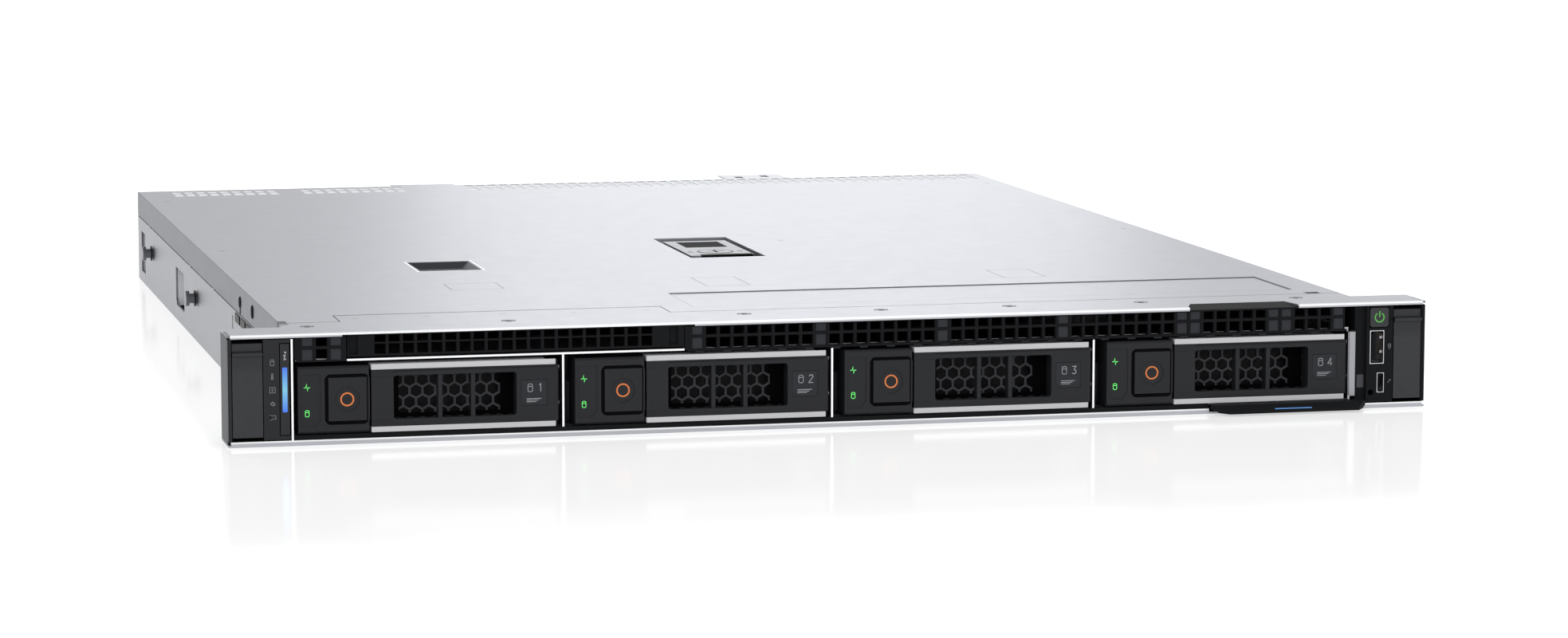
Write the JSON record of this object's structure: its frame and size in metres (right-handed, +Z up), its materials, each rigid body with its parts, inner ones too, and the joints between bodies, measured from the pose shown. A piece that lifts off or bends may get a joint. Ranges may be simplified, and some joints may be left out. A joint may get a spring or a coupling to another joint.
{
  "type": "1u rack server",
  "caption": "Flat rack-mount server with hot-swap drive carriers, removable top cover, system fans and plug-in power supplies.",
  "frame": {"origin": "on the underside, on the centre line, in the plane where the ears meet the rack posts", "axes": "+X to the right of someone facing the front, +Y to the rear, +Z up"},
  "size_m": [0.482, 0.601, 0.0428],
  "materials": {
    "zinc_steel": "bright zinc-coated sheet, satin",
    "black_plastic": "moulded, fine matt",
    "grained_black": "moulded, spark-eroded grain",
    "silver_trim": "silver paint, satin",
    "drive_casting": "cast and machined",
    "supply_shell": "bright sheet",
    "heatsink_metal": "extruded, plain",
    "circuit_board": "green solder mask",
    "component_plastic": "moulded",
    "port_metal": "nickel plated",
    "dark_steel": "blackened",
    "grey_key": "moulded, satin",
    "light_bar": "clear-coated key with a light window",
    "cable_sleeve": "braided sleeve"
  },
  "bodies": {
    "root": {"chassis_tray": "zinc_steel", "front_top_strip": "zinc_steel", "rack_ears": "zinc_steel", "ear_hardware": "dark_steel", "rail_studs": "dark_steel", "front_grilles": "black_plastic", "optical_bay_blank": "black_plastic", "drive_cage": "zinc_steel", "left_control_housing": "black_plastic", "right_control_housing": "black_plastic", "port_shells": "port_metal", "fan_frames": "black_plastic", "drive_backplane": "circuit_board", "system_board": "circuit_board", "board_components": "component_plastic", "memory_modules": "circuit_board", "processor_heatsink": "heatsink_metal", "air_shroud": "black_plastic", "riser_card": "circuit_board", "slot_covers": "zinc_steel", "rear_ports": "port_metal", "power_bay_walls": "zinc_steel", "power_board": "circuit_board", "cables": "cable_sleeve"},
    "drive_carrier_1": {"carrier_frame_1": "black_plastic", "hard_drive_1": "drive_casting"},
    "carrier_lever_1": {"carrier_handle_1": "black_plastic", "handle_rails_1": "silver_trim"},
    "carrier_button_1": {"release_button_1": "black_plastic"},
    "drive_carrier_2": {"carrier_frame_2": "black_plastic", "hard_drive_2": "drive_casting"},
    "carrier_lever_2": {"carrier_handle_2": "black_plastic", "handle_rails_2": "silver_trim"},
    "carrier_button_2": {"release_button_2": "black_plastic"},
    "drive_carrier_3": {"carrier_frame_3": "black_plastic", "hard_drive_3": "drive_casting"},
    "carrier_lever_3": {"carrier_handle_3": "black_plastic", "handle_rails_3": "silver_trim"},
    "carrier_button_3": {"release_button_3": "black_plastic"},
    "drive_carrier_4": {"carrier_frame_4": "black_plastic", "hard_drive_4": "drive_casting"},
    "carrier_lever_4": {"carrier_handle_4": "black_plastic", "handle_rails_4": "silver_trim"},
    "carrier_button_4": {"release_button_4": "black_plastic"},
    "left_latch": {"left_slam_latch": "grained_black"},
    "right_latch": {"right_slam_latch": "grained_black"},
    "power_key": {"power_button": "grey_key"},
    "light_bar_key": {"identity_key": "light_bar"},
    "tag": {"information_tag": "black_plastic"},
    "cover": {"top_cover": "zinc_steel"},
    "cover_lever": {"cover_latch": "zinc_steel"},
    "cover_turn_lock": {"cover_lock": "port_metal"},
    "fan_1": {"fan_rotor_1": "black_plastic"},
    "fan_2": {"fan_rotor_2": "black_plastic"},
    "fan_3": {"fan_rotor_3": "black_plastic"},
    "fan_4": {"fan_rotor_4": "black_plastic"},
    "supply_1": {"power_supply_1": "supply_shell"},
    "supply_release_1": {"supply_lever_1": "component_plastic"},
    "supply_2": {"power_supply_2": "supply_shell"},
    "supply_release_2": {"supply_lever_2": "component_plastic"}
  },
  "joints": [
    {"name": "drive_1_slide", "type": "slide", "parent": "root", "child": "drive_carrier_1", "axis": [0, -1, 0], "range_m": [0, 0.175]},
    {"name": "carrier_lever_1_hinge", "type": "hinge", "parent": "drive_carrier_1", "child": "carrier_lever_1", "pos_m": [-0.1153, -0.0194, 0.0172], "axis": [0, 0, 1], "range_deg": [0, 50]},
    {"name": "carrier_button_1_press", "type": "slide", "parent": "drive_carrier_1", "child": "carrier_button_1", "axis": [0, 1, 0], "range_m": [0, 0.002], "stiffness_N_per_m": 400},
    {"name": "drive_2_slide", "type": "slide", "parent": "root", "child": "drive_carrier_2", "axis": [0, -1, 0], "range_m": [0, 0.175]},
    {"name": "carrier_lever_2_hinge", "type": "hinge", "parent": "drive_carrier_2", "child": "carrier_lever_2", "pos_m": [-0.0081, -0.0194, 0.0172], "axis": [0, 0, 1], "range_deg": [0, 50]},
    {"name": "carrier_button_2_press", "type": "slide", "parent": "drive_carrier_2", "child": "carrier_button_2", "axis": [0, 1, 0], "range_m": [0, 0.002], "stiffness_N_per_m": 400},
    {"name": "drive_3_slide", "type": "slide", "parent": "root", "child": "drive_carrier_3", "axis": [0, -1, 0], "range_m": [0, 0.175]},
    {"name": "carrier_lever_3_hinge", "type": "hinge", "parent": "drive_carrier_3", "child": "carrier_lever_3", "pos_m": [0.0991, -0.0194, 0.0172], "axis": [0, 0, 1], "range_deg": [0, 50]},
    {"name": "carrier_button_3_press", "type": "slide", "parent": "drive_carrier_3", "child": "carrier_button_3", "axis": [0, 1, 0], "range_m": [0, 0.002], "stiffness_N_per_m": 400},
    {"name": "drive_4_slide", "type": "slide", "parent": "root", "child": "drive_carrier_4", "axis": [0, -1, 0], "range_m": [0, 0.175]},
    {"name": "carrier_lever_4_hinge", "type": "hinge", "parent": "drive_carrier_4", "child": "carrier_lever_4", "pos_m": [0.2063, -0.0194, 0.0172], "axis": [0, 0, 1], "range_deg": [0, 50]},
    {"name": "carrier_button_4_press", "type": "slide", "parent": "drive_carrier_4", "child": "carrier_button_4", "axis": [0, 1, 0], "range_m": [0, 0.002], "stiffness_N_per_m": 400},
    {"name": "left_latch_hinge", "type": "hinge", "parent": "root", "child": "left_latch", "pos_m": [-0.23355, -0.0175, 0.0345], "axis": [-1, 0, 0], "range_deg": [0, 60], "stiffness_Nm_per_rad": 0.02},
    {"name": "right_latch_hinge", "type": "hinge", "parent": "root", "child": "right_latch", "pos_m": [0.23355, -0.0175, 0.0345], "axis": [-1, 0, 0], "range_deg": [0, 60], "stiffness_Nm_per_rad": 0.02},
    {"name": "power_button_press", "type": "slide", "parent": "root", "child": "power_key", "axis": [0, 1, 0], "range_m": [0, 0.0012], "stiffness_N_per_m": 400},
    {"name": "identity_key_press", "type": "slide", "parent": "root", "child": "light_bar_key", "axis": [0, 1, 0], "range_m": [0, 0.001], "stiffness_N_per_m": 400},
    {"name": "tag_slide", "type": "slide", "parent": "root", "child": "tag", "axis": [0, -1, 0], "range_m": [0, 0.06]},
    {"name": "cover_lift", "type": "slide", "parent": "root", "child": "cover", "axis": [0, 0, 1], "range_m": [0, 0.08]},
    {"name": "cover_lever_hinge", "type": "hinge", "parent": "cover", "child": "cover_lever", "pos_m": [0.004, 0.27, 0.0403], "axis": [-1, 0, 0], "range_deg": [0, 80]},
    {"name": "cover_lock_turn", "type": "hinge", "parent": "cover_lever", "child": "cover_turn_lock", "pos_m": [0.004, 0.2237, 0.0415], "axis": [0, 0, 1], "range_deg": [0, 90]},
    {"name": "fan_1_spin", "type": "hinge", "parent": "root", "child": "fan_1", "pos_m": [-0.055, 0.297, 0.0208], "axis": [0, 1, 0], "continuous": true},
    {"name": "fan_2_spin", "type": "hinge", "parent": "root", "child": "fan_2", "pos_m": [0.005, 0.297, 0.0208], "axis": [0, 1, 0], "continuous": true},
    {"name": "fan_3_spin", "type": "hinge", "parent": "root", "child": "fan_3", "pos_m": [0.065, 0.297, 0.0208], "axis": [0, 1, 0], "continuous": true},
    {"name": "fan_4_spin", "type": "hinge", "parent": "root", "child": "fan_4", "pos_m": [0.125, 0.297, 0.0208], "axis": [0, 1, 0], "continuous": true},
    {"name": "supply_1_slide", "type": "slide", "parent": "root", "child": "supply_1", "axis": [0, 1, 0], "range_m": [0, 0.19]},
    {"name": "supply_1_release_hinge", "type": "hinge", "parent": "supply_1", "child": "supply_release_1", "pos_m": [-0.1508, 0.552, 0.0332], "axis": [0, 0, 1], "range_deg": [0, 12], "stiffness_Nm_per_rad": 0.05},
    {"name": "supply_2_slide", "type": "slide", "parent": "root", "child": "supply_2", "axis": [0, 1, 0], "range_m": [0, 0.19]},
    {"name": "supply_2_release_hinge", "type": "hinge", "parent": "supply_2", "child": "supply_release_2", "pos_m": [-0.086, 0.552, 0.0332], "axis": [0, 0, 1], "range_deg": [0, 12], "stiffness_Nm_per_rad": 0.05}
  ]
}
